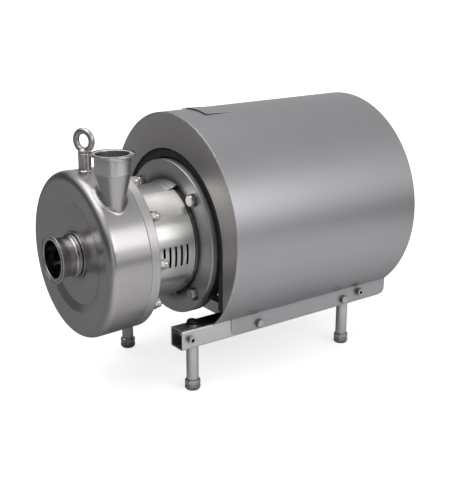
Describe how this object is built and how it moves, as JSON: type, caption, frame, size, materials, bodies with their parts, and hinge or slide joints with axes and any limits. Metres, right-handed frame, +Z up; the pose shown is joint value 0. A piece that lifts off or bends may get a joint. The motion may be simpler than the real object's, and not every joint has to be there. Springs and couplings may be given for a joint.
{
  "type": "centrifugal pump",
  "caption": "Sanitary centrifugal pump: round steel casing with clamp inlet and top outlet, guarded adaptor, motor under a cylindrical shroud, rail base on adjustable feet.",
  "frame": {"origin": "on the floor, at the centre of the pump's footprint box", "axes": "+Z up, the shaft lies along Y with the inlet towards -Y, +X is the side that the outlet stands on"},
  "size_m": [0.502, 0.812, 0.5909],
  "materials": {
    "casing_steel": "satin blasted stainless steel",
    "turned_steel": "turned and polished stainless steel",
    "polished_sheet": "polished stainless sheet",
    "shroud_steel": "finely brushed stainless sheet",
    "adaptor_steel": "machined cast stainless steel",
    "frame_steel": "light satin stainless tube",
    "fastener_steel": "bright stainless fasteners",
    "shaft_steel": "ground steel",
    "core_steel": "stacked electrical steel",
    "motor_paint": "black paint",
    "winding": "varnished copper wire",
    "seal_rubber": "black ribbed rubber",
    "black_plastic": "black plastic",
    "seal_face": "lapped dark seal ring"
  },
  "bodies": {
    "root": {"pump_casing": "casing_steel", "inlet_union": "turned_steel", "outlet_union": "turned_steel", "lifting_post": "turned_steel", "eye_bolt": "fastener_steel", "casing_o_ring": "seal_rubber", "back_plate": "casing_steel", "stationary_seal_ring": "seal_face", "adaptor": "adaptor_steel", "cap_nuts": "fastener_steel", "guard_right": "polished_sheet", "guard_left": "polished_sheet", "guard_screws": "fastener_steel", "flange_bolts": "fastener_steel", "flange_nuts": "fastener_steel", "motor_flange": "motor_paint", "motor_housing": "motor_paint", "motor_foot_bolts": "fastener_steel", "stator_core": "core_steel", "stator_windings": "winding", "rear_end_shield": "motor_paint", "fan_cowl": "motor_paint", "terminal_box": "motor_paint", "terminal_box_lid": "motor_paint", "cable_gland": "black_plastic", "bearing_outer_rings": "shaft_steel", "bearing_balls": "shaft_steel", "shroud_wrapper": "shroud_steel", "shroud_front_plate": "shroud_steel", "shroud_rear_plate": "shroud_steel", "shroud_seal": "seal_rubber", "rail_right": "frame_steel", "rail_left": "frame_steel", "front_cross_bar": "frame_steel", "rear_cross_bar": "frame_steel", "rail_pads": "black_plastic", "lock_nuts": "fastener_steel", "leg_caps": "black_plastic", "leg_washers": "fastener_steel", "skirt_bolts": "fastener_steel", "socket_screws": "fastener_steel", "leg_front_left": "frame_steel", "leg_front_right": "frame_steel", "leg_rear_left": "frame_steel", "leg_rear_right": "frame_steel"},
    "rotor": {"impeller": "turned_steel", "impeller_nut": "turned_steel", "rotary_seal_head": "seal_face", "stub_shaft": "shaft_steel", "clamp_ring": "shaft_steel", "motor_shaft": "shaft_steel", "rotor_core": "core_steel", "cooling_fan": "black_plastic", "bearing_inner_rings": "shaft_steel"},
    "foot_front_left": {"foot_screw_front_left": "fastener_steel"},
    "foot_front_right": {"foot_screw_front_right": "fastener_steel"},
    "foot_rear_left": {"foot_screw_rear_left": "fastener_steel"},
    "foot_rear_right": {"foot_screw_rear_right": "fastener_steel"}
  },
  "joints": [
    {"name": "shaft_spin", "type": "hinge", "parent": "root", "child": "rotor", "pos_m": [0, 0, 0.31], "axis": [0, 1, 0], "continuous": true},
    {"name": "foot_adjust_front_left", "type": "slide", "parent": "root", "child": "foot_front_left", "axis": [0, 0, -1], "range_m": [0, 0.025]},
    {"name": "foot_adjust_front_right", "type": "slide", "parent": "root", "child": "foot_front_right", "axis": [0, 0, -1], "range_m": [0, 0.025]},
    {"name": "foot_adjust_rear_left", "type": "slide", "parent": "root", "child": "foot_rear_left", "axis": [0, 0, -1], "range_m": [0, 0.025]},
    {"name": "foot_adjust_rear_right", "type": "slide", "parent": "root", "child": "foot_rear_right", "axis": [0, 0, -1], "range_m": [0, 0.025]}
  ]
}
